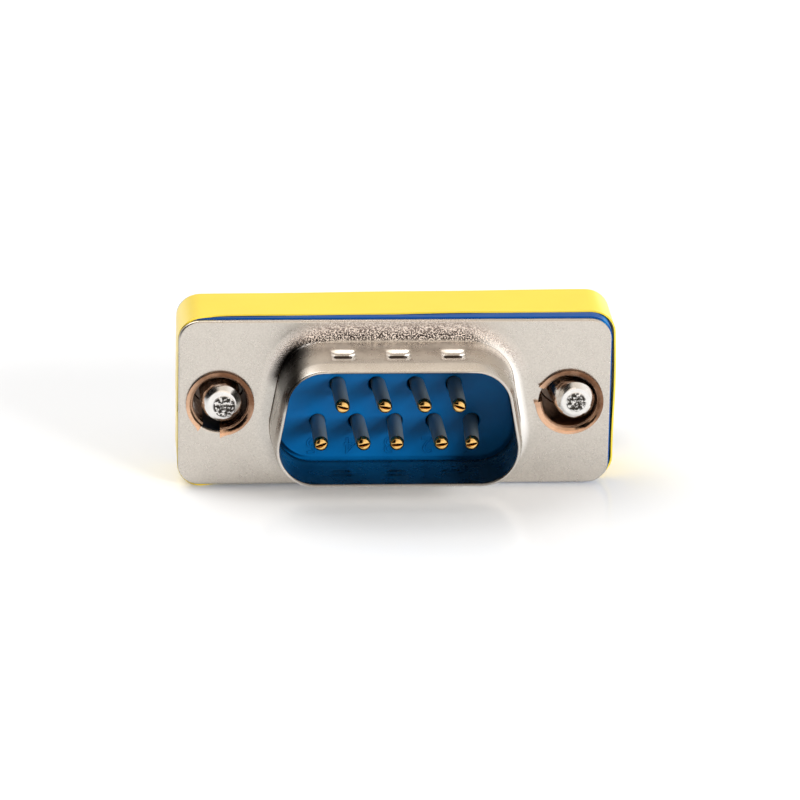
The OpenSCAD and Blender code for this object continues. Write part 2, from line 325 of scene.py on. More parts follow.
def sweep_flange_edge():
    """Adds the flange's outer edge to the mesh being edited: its section goes once round it."""
    w, h = FLANGE_W / 2 - FLANGE_R, FLANGE_H / 2 - FLANGE_R
    left = w + LEFT_EXTRA
    corners = [Vector((w, -h, 0)), Vector((w, h, 0)), Vector((-left, h, 0)), Vector((-left, -h, 0))]
    points = [corners[0] + Vector((0, -FLANGE_R - r, z)) for r, z in edge_line]
    add_vertex(points[0])
    draw(points)
    bpy.ops.mesh.select_linked()
    for i in range(4):
        spin(corners[i], (0, 0, -1), math.pi / 2, 10)
        extrude(corners[(i + 1) % 4] - corners[i])


def sweep_hole(side):
    """Adds the wall of a screw hole."""
    centre = Vector((side * SCREW_X, 0, 0))
    points = [centre + Vector((EYELET_HOLE_R + r, 0, z)) for r, z in hole_line]
    add_vertex(points[0])
    draw(points)
    bpy.ops.mesh.select_linked()
    spin(centre, (0, 0, -1), 2 * math.pi, 56)


def fill_flat(obj, z):
    """Fills the flat metal between the edge, the wall's foot and the holes at one level."""
    mode("OBJECT")
    users = {}
    for face in obj.data.polygons:
        for key in face.edge_keys:
            users[key] = users.get(key, 0) + 1
    mode("EDIT")

    def open_here(edge):
        level = all(abs(obj.data.vertices[v].co.z - z) < 1e-6 for v in edge.vertices)
        return level and users.get(tuple(sorted(edge.vertices)), 0) == 1

    count = select_by(obj, "edges", open_here)
    bpy.ops.mesh.fill(use_beauty=True)
    print("filled", count, "open edges at", round(z / MM, 2))


# %% Sinking the dimples
PRESS_DEPTH, SLOT_DEPTH = 0.16 * MM, 0.17 * MM
INNER_SHARE = 0.4
ON_WALL = 1e-5


def rounded_box(x, y, half_x, half_y, r):
    """How far inside a rounded oblong a point lies; below 0 it is outside."""
    a, b = abs(x) - half_x + r, abs(y) - half_y + r
    return r - math.hypot(max(a, 0), max(b, 0)) - min(max(a, b), 0)


def smooth_step(a, b, v):
    t = min(1, max(0, (v - a) / (b - a)))
    return t * t * (3 - 2 * t)


def dimple_depth(x, z):
    """A wide shallow press mark with a narrow slot along its middle."""
    wide = rounded_box(x, z, 0.98 * MM, 1.08 * MM, 0.4 * MM)
    slot = rounded_box(x, z, 0.74 * MM, 0.28 * MM, 0.14 * MM)
    press = PRESS_DEPTH * smooth_step(0, 0.5 * MM, wide)
    return press + SLOT_DEPTH * smooth_step(0, 0.14 * MM, slot)


def sink_dimples(obj, places):
    """Presses the fine grid of the long walls in, on both faces of the sheet."""
    mode("OBJECT")
    for v in obj.data.vertices:
        wall = abs(v.co.y) - SHROUD_H / 2 - draft(v.co.z)
        if v.co.z < DIMPLE_Z - DIMPLE_W or v.co.z > DIMPLE_Z + DIMPLE_W or wall < -ON_WALL:
            continue
        for x in places:
            if abs(v.co.x - x) < DIMPLE_L / 2 and min(abs(wall), abs(wall - SHEET)) < ON_WALL:
                depth = dimple_depth(v.co.x - x, v.co.z - DIMPLE_Z)
                if abs(wall) < ON_WALL:
                    depth *= INNER_SHARE
                v.co.y -= math.copysign(depth, v.co.y)
    mode("EDIT")


# %% The two shells
def press_shell(name, inner, rim, stand, dimples):
    shell = sweep_wall(name, inner, rim)
    sweep_flange_edge()
    for side in (-1, 1):
        sweep_hole(side)
    weld()
    bpy.ops.mesh.normals_make_consistent(inside=False)
    fill_flat(shell, 0)
    fill_flat(shell, -SHEET)
    weld()
    bpy.ops.mesh.normals_make_consistent(inside=False)
    sink_dimples(shell, dimples)
    return settle(shell, stand)


front_shell = press_shell("plug_shell_steel", PLUG_CORNER, PLUG_RIM, STAND_FRONT,
    (-DIMPLE_PITCH, 0, DIMPLE_PITCH))
rear_shell = press_shell("socket_shell_steel", SOCKET_CORNER, SOCKET_RIM, STAND_REAR, ())
for piece, node in ((front_shell, "front_shell"), (rear_shell, "rear_shell")):
    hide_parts(node)
    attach(piece, "adapter")
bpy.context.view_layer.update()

# %% [markdown]
# ## The eyelets
#
# A strip of bronze is rolled into a C, pushed through both flanges, and its ends are flared over
# them like a trumpet. The split stays open, and its corners spring out a little. The section is
# a thin closed loop, spun almost all the way round the screw's axis and closed at both ends.

# %% The eyelet's section
EYELET_R = 1.93 * MM
EYELET_WALL = 0.24 * MM
BODY_D = -2 * FLANGE_Y
NECK_R, NECK_LEN = 1.49 * MM, 0.7 * MM
LIP_R = 2.4 * MM


def eyelet_line():
    """(r, z) points: up the bore, round the front lip, down outside, and round the rear lip."""
    r, t = EYELET_R, EYELET_WALL
    flare = LIP_R - 0.02 * MM - r
    centre = (LIP_R - 0.02 * MM, -0.19 * MM)
    front = arc(centre, flare, 180, 84, 10)
    front += [(LIP_R + 0.04 * MM, 0.22 * MM), (LIP_R + 0.03 * MM, 0.12 * MM)]
    front += [(LIP_R - 0.02 * MM, 0.07 * MM)]
    front += arc(centre, flare - t, 100, 180, 5)
    rear = [(a, -BODY_D - b) for a, b in reversed(front)]
    neck = [(NECK_R, -BODY_D - 0.1 * MM), (NECK_R, NECK_LEN - BODY_D), (r, NECK_LEN + 0.15 * MM - BODY_D)]
    return [(r, -BODY_D / 2)] + front + rear[:-3] + neck


def roll_eyelet(name, side, split_dir, split_angle):
    """The section is spun round the screw's axis, from one edge of the split to the other."""
    centre = Vector((side * SCREW_X, 0, 0))
    start = math.radians(split_dir + split_angle / 2)
    way = Vector((math.cos(start), math.sin(start), 0))
    points = [centre + way * r + Vector((0, 0, z)) for r, z in eyelet_line()]
    obj = begin_line(name, points[0])
    draw(points + points[:1])
    weld()
    bpy.ops.mesh.select_all(action="SELECT")
    bpy.ops.mesh.edge_face_add()
    bpy.ops.mesh.select_all(action="SELECT")
    spin(centre, (0, 0, -1), math.radians(360 - split_angle), 64)
    bpy.ops.mesh.select_all(action="SELECT")
    return obj


def spread_split(obj, side, split_dir, split_angle, amount):
    """The lip's corners at the split are sprung out from the axis and off the flange."""
    mode("OBJECT")
    for edge in (-1, 1):
        turn = math.radians(split_dir + edge * split_angle / 2)
        for v in obj.data.vertices:
            if v.co.z < -0.25 * MM:
                continue
            x, y = v.co.x - side * SCREW_X, v.co.y
            away = abs((math.atan2(y, x) - turn + math.pi) % (2 * math.pi) - math.pi)
            near = max(0, 1 - away / math.radians(11)) ** 2
            lip = max(0, (math.hypot(x, y) - EYELET_R) / (LIP_R - EYELET_R))
            v.co += Vector((x, y, 0)).normalized() * amount * near * lip
            v.co.z += 0.35 * amount * near * lip
    mode("EDIT")


eyelets = []
for name, side, split_dir, split_angle in (("left_eyelet", -1, 251, 38), ("right_eyelet", 1, 165, 28)):
    eyelet = roll_eyelet(name + "_bronze", side, split_dir, split_angle)
    spread_split(eyelet, side, split_dir, split_angle, 0.13 * MM)
    settle(eyelet, STAND_FRONT, 40)
    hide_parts(name)
    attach(eyelet, "adapter")
    eyelets.append(eyelet)

# %% [markdown]
# ## The contacts
#
# Each contact is one strip of gold-flashed brass. In front it is rolled into a pin whose tip is
# folded shut, which leaves two lips with a slit between them. Behind, it opens into a barrel
# that grips a mating pin. One contact is modelled: the section is spun round its axis, and the
# rings at the tip are pulled into an oval slit. It is copied nine times, no two quite alike.

# %% One contact
PIN_R, PIN_H, NOSE_LEN = 0.52 * MM, 4.7 * MM, 0.5 * MM
SLIT_A, SLIT_B, SLIT_FLOOR = 0.4 * MM, 0.075 * MM, 4.0 * MM
BARREL_R, BARREL_BORE = 0.8 * MM, 0.53 * MM
contact_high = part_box("contact_1")[1]
BARREL_END = -(contact_high.y - FLANGE_Y)
PITCH, ROW = 2.77 * MM, 1.42 * MM


def contact_line():
    """From the slit's floor up over the nose, down the pin and the barrel, and up its bore."""
    foot = PIN_H - NOSE_LEN
    back = -BODY_D / 2
    nose = [(0.02 * MM + (PIN_R - 0.02 * MM) * i / 14, 0) for i in range(1, 13)]
    return [(0, SLIT_FLOOR), (0.01 * MM, SLIT_FLOOR), (0.015 * MM, PIN_H - 0.1 * MM)] + nose + [
        (PIN_R, foot), (PIN_R, foot - 0.1 * MM), (PIN_R, back), (BARREL_R, back),
        (BARREL_R, back - 0.1 * MM), (BARREL_R, BARREL_END + 0.1 * MM),
        (BARREL_R - 0.06 * MM, BARREL_END), (BARREL_BORE + 0.08 * MM, BARREL_END),
        (BARREL_BORE, BARREL_END + 0.15 * MM), (BARREL_BORE, BARREL_END + 5 * MM),
        (0, BARREL_END + 5.3 * MM),
    ]


def spin_section(name, line, steps=32):
    """A line from the axis to the axis, spun full turn round z."""
    points = [Vector((r, 0, z)) for r, z in line]
    obj = begin_line(name, points[0])
    draw(points)
    bpy.ops.mesh.select_all(action="SELECT")
    spin((0, 0, 0), (0, 0, -1), 2 * math.pi, steps)
    weld()
    bpy.ops.mesh.normals_make_consistent(inside=False)
    return obj


def nose_height(r):
    """Height of the nose's surface at a distance from the axis."""
    return PIN_H - NOSE_LEN * (1 - math.sqrt(max(0, 1 - (r / PIN_R) ** 2.8)))


def fold_tip(obj):
    """Stretches the rings round the axis into a long slit, and lays the nose over them."""
    for v in obj.data.vertices:
        r = math.hypot(v.co.x, v.co.y)
        if r > 0.96 * PIN_R or r < 1e-7 or v.co.z < -0.1 * MM:
            continue
        c, d = v.co.x / r, v.co.y / r
        if r < 0.018 * MM:
            t, deep = 0, True
        else:
            t, deep = (r - 0.02 * MM) / (PIN_R - 0.02 * MM), False
        x = c * (SLIT_A + t * (PIN_R - SLIT_A))
        y = d * (SLIT_B + t * (PIN_R - SLIT_B))
        z = nose_height(math.hypot(x, y)) - 0.07 * MM * max(0, 1 - t / 0.25) ** 2
        if deep:
            z = min(v.co.z, z - 0.04 * MM)
        v.co = (x, y, z)


def join(objects):
    select_none()
    for obj in objects:
        obj.select_set(True)
    bpy.context.view_layer.objects.active = objects[0]
    bpy.ops.object.join()
    return objects[0]


def apply_modifier(obj, kind, **settings):
    pick(obj)
    modifier = obj.modifiers.new(kind.lower(), kind)
    for key, value in settings.items():
        setattr(modifier, key, value)
    bpy.ops.object.modifier_apply(modifier=modifier.name)


master = spin_section("contact_master", contact_line(), 40)
mode("OBJECT")
fold_tip(master)
print("one contact has", len(master.data.polygons), "faces")

# %% Nine contacts, each a little its own way
# slit turn in degrees, and how far the tip leans across, in millimetres
WIDE = [(12, -0.34), (8, 0.33), (3, -0.1), (12, 0.35), (20, 0.07)]
NARROW = [(-20, 0.15), (-2, 0.5), (-10, 0.45), (-15, 0.2)]


def place_contact(number, x, y, turn, lean):
    piece = master.copy()
    piece.data = master.data.copy()
    piece.name = piece.data.name = f"contact_{number}_gold"
    bpy.context.collection.objects.link(piece)
    piece.data.transform(Matrix.Rotation(math.radians(turn), 4, "Z"))
    for v in piece.data.vertices:
        if v.co.z > 0:
            v.co.x += lean * MM * (v.co.z / PIN_H) ** 1.3
    piece.data.transform(Matrix.Translation((x, y, 0)))
    pick(piece)
    settle(piece, STAND_FRONT, 40)
    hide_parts(f"contact_{number}")
    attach(piece, "adapter")
    return piece


contacts = [place_contact(i + 1, (2 - i) * PITCH, -ROW, *WIDE[i]) for i in range(5)]
contacts += [place_contact(i + 6, (1.5 - i) * PITCH, ROW, *NARROW[i]) for i in range(4)]
bpy.data.objects.remove(master)

# %% [markdown]
# ## The jackscrews
#
# Each is a steel rod with a rolled thread and a chamfered, roughly cropped end, and a hexagonal
# head behind with a tapped hole. The rod and the hole are spun as plain cylinders of many thin
# rings, and then each ring's radius follows the thread's ridge as it climbs round.

# %% Sizes of the screw
SCREW_R = 1.42 * MM
THREAD_PITCH, THREAD_DEPTH = 0.635 * MM, 0.3 * MM
TIP_END_R, TIP_CHAMFER = 1.03 * MM, 0.24 * MM
screw_low, screw_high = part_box("left_jackscrew")
TIP_H = FLANGE_Y - screw_low.y
HEAD_BACK = -(screw_high.y - FLANGE_Y)
HEAD_LEN = 4.7 * MM
HEAD_FRONT = HEAD_BACK + HEAD_LEN
THREAD_END = -3.6 * MM
GROOVE_TOP = -4.25 * MM
HEX_R = 4.75 * MM / 2 / math.cos(math.radians(30))


def ridge(turn, z, depth):
    """How deep the thread is cut at this angle and height, between 0 and depth."""
    phase = (z / THREAD_PITCH - turn / (2 * math.pi)) % 1
    return depth * (1 - min(1, 2.4 * abs(phase - 0.5)))


def turn_rod(name):
    """The threaded rod from the tip to the root of the head."""
    rings = int((TIP_H - THREAD_END) / (THREAD_PITCH / 10))
    line = [(0, TIP_H), (TIP_END_R * 0.55, TIP_H), (TIP_END_R * 0.93, TIP_H)]
    line += [(SCREW_R, TIP_H - i * THREAD_PITCH / 10) for i in range(rings)]
    line += [
        (SCREW_R, THREAD_END), (SCREW_R, GROOVE_TOP), (SCREW_R - 0.32 * MM, GROOVE_TOP),
        (SCREW_R - 0.32 * MM, GROOVE_TOP - 0.6 * MM), (SCREW_R, GROOVE_TOP - 0.6 * MM),
        (SCREW_R, HEAD_FRONT - 0.2 * MM), (0, HEAD_FRONT - 0.2 * MM),
    ]
    rod = spin_section(name, line, 48)
    mode("OBJECT")
    for v in rod.data.vertices:
        r = math.hypot(v.co.x, v.co.y)
        if r < TIP_END_R * 0.95 or v.co.z < THREAD_END:
            continue
        turn = math.atan2(v.co.y, v.co.x)
        cone = TIP_END_R + (TIP_H - v.co.z) * (SCREW_R - TIP_END_R) / TIP_CHAMFER
        fade = min(1, max(0, (v.co.z - THREAD_END) / (0.8 * MM)))
        new = min(cone, SCREW_R - fade * ridge(turn, v.co.z, THREAD_DEPTH))
        v.co.x, v.co.y = v.co.x * new / r, v.co.y * new / r
    return rod


# %% The hexagonal head
def hex_head(name):
    """A six-sided bar, turned off at both ends, with a tapped hole from behind."""
    select_none()
    bpy.ops.mesh.primitive_cylinder_add(vertices=6, radius=HEX_R, depth=HEAD_LEN,
        location=(0, 0, HEAD_BACK + HEAD_LEN / 2))
    bar = bpy.context.object
    bar.name = name
    chamfer = 0.25 * MM
    bore = 1.28 * MM
    cone = [
        (0, HEAD_FRONT), (HEX_R - 0.42 * MM, HEAD_FRONT), (HEX_R + 0.02 * MM, HEAD_FRONT - chamfer),
        (HEX_R + 0.02 * MM, HEAD_BACK + chamfer), (HEX_R - 0.42 * MM, HEAD_BACK),
        (bore + 0.15 * MM, HEAD_BACK), (bore, HEAD_BACK + 0.15 * MM),
    ]
    step = THREAD_PITCH / 8
    rings = int(3.8 * MM / step)
    cone += [(bore, HEAD_BACK + 0.2 * MM + i * step) for i in range(rings)]
    cone += [(bore - 0.25 * MM, HEAD_BACK + 4 * MM), (0, HEAD_BACK + 4.3 * MM)]
    turned = spin_section("turned", cone, 96)
    mode("OBJECT")
    for v in turned.data.vertices:
        r = math.hypot(v.co.x, v.co.y)
        if abs(r - bore) < 0.01 * MM and v.co.z > HEAD_BACK + 0.17 * MM:
            turn = math.atan2(v.co.y, v.co.x)
            new = bore - ridge(turn, v.co.z, 0.26 * MM)
            v.co.x, v.co.y = v.co.x * new / r, v.co.y * new / r
    apply_modifier(bar, "BOOLEAN", operation="INTERSECT", object=turned, solver="EXACT")
    bpy.data.objects.remove(turned)
    return bar


def jackscrew(name, side, turn, lean):
    """Loose in its eyelet, a screw droops a little: its front end stands off the axis by lean."""
    screw = join([turn_rod(name + "_nickel"), hex_head("head")])
    screw.data.transform(Matrix.Rotation(math.radians(turn), 4, "Z"))
    for v in screw.data.vertices:
        v.co += Vector(lean) * max(0, (v.co.z - GROOVE_TOP) / (TIP_H - GROOVE_TOP)) ** 1.5
    screw.data.transform(Matrix.Translation((side * SCREW_X, 0, 0)))
    pick(screw)
    settle(screw, STAND_FRONT, 32)
    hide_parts(name)
    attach(screw, name.replace("jackscrew", "screw"))
    return screw


screws = [
    jackscrew("left_jackscrew", -1, 12, (0.12 * MM, 0, 0)),
    jackscrew("right_jackscrew", 1, 48, (0.45 * MM, 0.08 * MM, 0)),
]

# %% [markdown]
# ## The label
#
# The label is a strip of thin film wound once round the body, a little askew. It sticks well
# along the top, stands off at the right-hand end, and its end overlaps its start on the left.
# A line across the strip is extruded along the sides and spun round the corners, then the
# points are moved a little for the skew and the slack, and Solidify gives the film its thickness.

# %% Winding the label
FILM = 0.12 * MM
BAND_W = 4.3 * MM
SKEW = math.radians(1.3)
STRIP = 15
END_STEPS = 9
BAND_MID = FLANGE_Y - (label_low.y + label_high.y) / 2
BAND_X, BAND_Y = BODY_W / 2 + FILM, BODY_H / 2 + FILM
BAND_R = FLANGE_R + (BODY_H - FLANGE_H) / 2 + FILM


def wind_label():
    x, y = BAND_X - BAND_R, BAND_Y - BAND_R
    corners = [Vector((-x, -y, 0)), Vector((x, -y, 0)), Vector((x, y, 0)), Vector((-x, y, 0))]
    across = [Vector((-BAND_X, 0, BAND_MID - BAND_W / 2 + BAND_W * i / (STRIP - 1)))
        for i in range(STRIP)]
    obj = begin_line("label_film", across[0])
    draw(across)
    bpy.ops.mesh.select_all(action="SELECT")
    runs = [(0, -y, 8), (2 * x, 0, 48), (0, 2 * y, 16), (-2 * x, 0, 48), (0, -y - 0.8 * MM, END_STEPS)]
    for i, (dx, dy, steps) in enumerate(runs):
        for _ in range(steps):
            extrude(Vector((dx / steps, dy / steps, 0)))
        if i < 4:
            spin(corners[i], (0, 0, -1), math.pi / 2, 8)
    mode("OBJECT")
    return obj


def slacken(obj):
    """Skews the wound strip, lets it bulge on the right, and lifts the end over the start."""
    verts = obj.data.vertices
    last = len(verts) - STRIP * (END_STEPS + 1)
    for v in verts:
        x, y, z = v.co
        across = (z - BAND_MID) / (BAND_W / 2)
        right = smooth_step(BAND_X - 2.5 * MM, BAND_X, x)
        height = 1 - abs(y) / BAND_Y * 0.35 if y > 0 else 1
        wave = math.sin(y / (1.7 * MM) + 0.6) * 0.05 * MM
        left = smooth_step(BAND_X - 3.4 * MM, BAND_X - 1.2 * MM, -x)
        v.co.x += right * (0.20 * MM * height + wave + 0.06 * MM * across) + left * 0.10 * MM
        v.co.z += left * 0.36 * MM * max(0, across)
        v.co.y += 0.02 * MM * math.sin(x / (2.3 * MM)) * (1 + across) * (1 if y > 0 else 0)
        v.co.z -= x * math.tan(SKEW) - 0.03 * MM * math.sin(x / (1.9 * MM) + across)
        if v.index >= last:
            v.co.x -= 0.02 * MM * smooth_step(0, END_STEPS, (v.index - last) // STRIP)


label = wind_label()
slacken(label)
pick(label)
mode("EDIT")
bpy.ops.mesh.select_all(action="SELECT")
bpy.ops.mesh.normals_make_consistent(inside=False)
mode("OBJECT")
apply_modifier(label, "SOLIDIFY", thickness=FILM, offset=-1)
settle(label, STAND_FRONT, 50)
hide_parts("label_band")
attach(label, "adapter")
label_box = [label.matrix_world @ v.co for v in label.data.vertices]
print("label reaches", [round(max(v[i] for v in label_box) / MM, 2) for i in range(3)],
    [round(min(v[i] for v in label_box) / MM, 2) for i in range(3)])

# %% [markdown]
# ## Numbers in the plastic
#
# Tiny numbers beside the contacts tell them apart. The mould was engraved along their outlines,
# so only these stand up: each is a text whose outline is a thin bead instead of a filled face.

# %% Moulded numbers
FACE_H = FLANGE_Y - ins_low.y + 0.005 * MM


def moulded_number(number, x, y, size=1.25 * MM):
    select_none()
    bpy.ops.object.text_add(location=(0, 0, 0))
    text = bpy.context.object
    text.data.body = str(number)
    text.data.size = size * 1.35
    text.data.align_x, text.data.align_y = "CENTER", "CENTER"
    text.data.fill_mode = "NONE"
    text.data.bevel_depth = 0.045 * MM
    text.data.bevel_resolution = 1
    text.data.resolution_u = 4
    bpy.ops.object.convert(target="MESH")
    obj = bpy.context.object
    obj.data.transform(Matrix.Translation((x, y, FACE_H)) @ Matrix.Rotation(math.pi, 4, "Z"))
    return obj


numbers = [moulded_number(i + 1, (2 - i) * PITCH - 0.4 * MM, -ROW - 1.8 * MM) for i in range(5)]
numbers += [moulded_number(i + 6, (1.5 - i) * PITCH - 0.35 * MM, ROW + 1.65 * MM) for i in range(4)]
numbers = join(numbers)
numbers.name = numbers.data.name = "moulded_numbers"
mode("EDIT")
weld(1e-7)
settle(numbers, STAND_FRONT, 40)
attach(numbers, "adapter")

# %% [markdown]
# ## Shader maths
#
# A material here is built from nodes. Writing them as sums keeps the thought readable: a small
# class wraps a socket, so that a + b adds a Math node. Any other node comes from one method.

# %% Sockets as numbers
class Sock:
    """A node socket that can be used in sums."""

    def __init__(self, mat, socket):
        self.mat, self.socket = mat, socket

    def _math(self, operation, a, b=None):
        return self.mat.node("ShaderNodeMath", {"operation": operation}, {0: a, 1: b})

    def __add__(self, other): return self._math("ADD", self, other)
    def __radd__(self, other): return self._math("ADD", other, self)
    def __sub__(self, other): return self._math("SUBTRACT", self, other)
    def __rsub__(self, other): return self._math("SUBTRACT", other, self)
    def __mul__(self, other): return self._math("MULTIPLY", self, other)
    def __rmul__(self, other): return self._math("MULTIPLY", other, self)
    def __truediv__(self, other): return self._math("DIVIDE", self, other)
    def __gt__(self, other): return self._math("GREATER_THAN", self, other)
    def __lt__(self, other): return self._math("LESS_THAN", self, other)
    def clamp(self): return self.mat.node("ShaderNodeClamp", {}, {0: self})
    def power(self, other): return self._math("POWER", self, other)
    def abs(self): return self._math("ABSOLUTE", self)
    def at_least(self, other): return self._math("MAXIMUM", self, other)


class Finish:
    """A material with its principled shader, and the methods that add nodes."""

    def __init__(self, name, **constants):
        self.material = bpy.data.materials.new(name)
        self.material.use_nodes = True
        self.tree = self.material.node_tree
        self.shader = self.tree.nodes["Principled BSDF"]
        for socket, value in constants.items():
            self.shader.inputs[socket.replace("_", " ")].default_value = value

    def node(self, kind, settings, inputs, output=0):
        made = self.tree.nodes.new(kind)
        for key, value in settings.items():
            if key == "stops":
                ramp = made.color_ramp
                while len(ramp.elements) < len(value):
                    ramp.elements.new(0.5)
                for element, (place, colour) in zip(ramp.elements, value):
                    element.position, element.color = place, (*colour, 1)
            else:
                setattr(made, key, value)
        for key, value in inputs.items():
            if value is None:
                continue
            if isinstance(value, Sock):
                self.tree.links.new(value.socket, made.inputs[key])
            else:
                made.inputs[key].default_value = value
        return Sock(self, made.outputs[output])

    def place(self):
        return self.node("ShaderNodeTexCoord", {}, {}, "Object")

    def axes(self):
        """The place across, back and up, as three sockets."""
        made = self.node("ShaderNodeSeparateXYZ", {}, {"Vector": self.place()}, "X")
        split = made.socket.node
        return [Sock(self, split.outputs[axis]) for axis in "XYZ"]

    def noise(self, scale, detail=3.0, rough=0.5, vector=None):
        return self.node("ShaderNodeTexNoise", {}, {
            "Vector": vector or self.place(), "Scale": scale, "Detail": detail, "Roughness": rough,
        }, "Fac")

    def mix(self, factor, a, b):
        """A colour between a and b."""
        return self.node("ShaderNodeMix", {"data_type": "RGBA"}, {
            "Factor": factor,
            "A": (*a, 1) if isinstance(a, tuple) else a,
            "B": (*b, 1) if isinstance(b, tuple) else b,
        }, "Result")

    def ramp(self, factor, stops):
        return self.node("ShaderNodeValToRGB", {"stops": stops}, {"Fac": factor}, "Color")

    def feed(self, **sockets):
        for name, value in sockets.items():
            self.tree.links.new(value.socket, self.shader.inputs[name.replace("_", " ")])

    def bump(self, height, distance, strength=1.0):
        made = self.node("ShaderNodeBump", {}, {
            "Height": height, "Distance": distance, "Strength": strength,
        }, "Normal")
        self.feed(Normal=made)


def rising(value, start, end):
    """0 below start, 1 above end."""
    return ((value - start) * (1 / (end - start))).clamp()


def dress(obj, finish):
    obj.data.materials.clear()
    obj.data.materials.append(finish.material)
    print(finish.material.name, "on", obj.name)


# %% [markdown]
# ## The nickel-plated sheet
#
# The shells are pressed steel with a satin nickel plate, a little warm, whose grain is very fine.
# Round the foot of the shroud the sheet was pulled hardest, so its grain opens there into light
# and dark specks, which darken into a painted dark reflection next to the wall. Round the root
# there are painted highlights on the bend at the right and on the wall above the flange, painted
# shade along the wall's foot and a painted dark reflection in the upper left corner; each dimple
# has a painted highlight on its lip and painted shade in its slot. These marks could be painted on
# an image. Here they are sums on the place of a point instead: how far it lies outside the D, and
# how far above the flange. So they follow the shape, and stay sharp from close by.

# %% Places on the shroud
# narrower than the real side by about half a millimetre, so the marks there begin under the wall
SIDE_X = 5.1 * MM
DIMPLES_END = 5 * MM


def root_distance(steel):
    """Distance outside the D of the shroud, and the place across, up and forward."""
    x, y, up = steel.axes()
    up = up - CENTRE_Z
    across = (x.abs() + up * math.tan(LEAN) - SIDE_X).at_least(0)
    above = (up.abs() - corner_y).at_least(0)
    away = (across * across + above * above).power(0.5) - (PLUG_CORNER + SHEET)
    return away, x, up, FLANGE_Y - y


# %% Grain of the press, with painted highlights, shade and dark reflections
def stretched_grain(steel, colour, grain, stretched, away):
    """Light and dark specks where the metal was pulled, with a painted dark reflection next to the wall.
    """
    close = stretched * (1 - rising(away, 0.6 * MM, 1.1 * MM))
    speck = (grain - 0.5) * (close * 6.0 + 4.5) * stretched + 0.5 - close * 0.3
    bright = steel.mix(stretched, colour, (0.88, 0.81, 0.76))
    # the specks' dark side goes from grey to near black next to the wall: a painted dark reflection
    dark = steel.mix(close, (0.26, 0.215, 0.20), (0.03, 0.02, 0.018))
    return steel.mix(speck.clamp(), steel.mix(stretched, colour, dark), bright)


def root_marks(steel, colour, grain, near_flange, away, x, up, out):
    """Painted highlights on the bend at the right and on the wall, painted shade along the wall's foot,
    and a painted dark reflection in the upper left corner.
    """
    # painted highlight on the bend of the fillet at the right
    crest_highlight = near_flange * rising(x, 5.5 * MM, 7.5 * MM) * rising(away, 0.35 * MM, 0.6 * MM)
    crest_highlight = crest_highlight * (1 - rising(away, 0.9 * MM, 1.3 * MM))
    colour = steel.mix(crest_highlight, colour, (0.97, 0.94, 0.90))
    # painted shade along the wall's foot, brownish on the right and near black on the left
    crease_shade = near_flange * rising(away, 0.0, 0.08 * MM) * (1 - rising(away, 0.3 * MM, 0.5 * MM))
    right_crease_shade = crease_shade * rising(x, 5.0 * MM, 7.0 * MM) * 0.6
    colour = steel.mix(right_crease_shade, colour, (0.36, 0.30, 0.25))
    left_crease_shade = crease_shade * rising(0 - x, 6.0 * MM, 7.0 * MM) * 0.85
    colour = steel.mix(left_crease_shade, colour, (0.05, 0.04, 0.03))
    # painted highlight on the wall a little above the flange
    wall_highlight = rising(out, 0.3 * MM, 0.4 * MM) * (1 - rising(out, 0.9 * MM, 1.7 * MM))
    wall_highlight = wall_highlight * rising(up, 0, 1.0 * MM) * rising(x, -7.2 * MM, -5.5 * MM)
    colour = steel.mix(wall_highlight, colour, (0.97, 0.93, 0.87))
    # painted dark reflection in the fillet's upper left corner, broken up by the grain
    corner = rising(0 - x, 6.3 * MM, 7.3 * MM) * rising(up, 1.2 * MM, 2.2 * MM)
    corner_reflection = corner * rising(away, 0.0, 0.2 * MM) * (1 - rising(away, 0.8 * MM, 1.5 * MM))
    return steel.mix((corner_reflection * (grain + 0.55)).clamp(), colour, (0.03, 0.025, 0.02))


def dimple_paint(steel, colour, x, up, out):
    """A painted highlight on the lip where the sheet bends into a dimple, and painted shade in the slot
    along its middle.
    """
    sunk = (1 - rising(out, 0, DRAFT_END)) * DRAFT + (SHROUD_H / 2 + SHEET) - up.abs()
    # painted highlight on the dimple's lip
    lip = rising(sunk, 0.02 * MM, 0.05 * MM) * (1 - rising(sunk, 0.14 * MM, 0.17 * MM))
    lip = lip * (x.abs() < DIMPLES_END)
    lip = lip * (out > DIMPLE_Z - DIMPLE_W / 2) * (out < DIMPLE_Z + DIMPLE_W / 2)
    colour = steel.mix(lip, colour, (0.98, 0.96, 0.92))
    # painted shade in the dimple's slot
    slot = rising(sunk, 0.17 * MM, 0.20 * MM) * (sunk < 0.385 * MM) * (x.abs() < DIMPLES_END)
    slot = slot * (out > DIMPLE_Z - 0.5 * MM) * (out < DIMPLE_Z + 0.5 * MM)
    return steel.mix(slot, colour, (0.04, 0.03, 0.025))


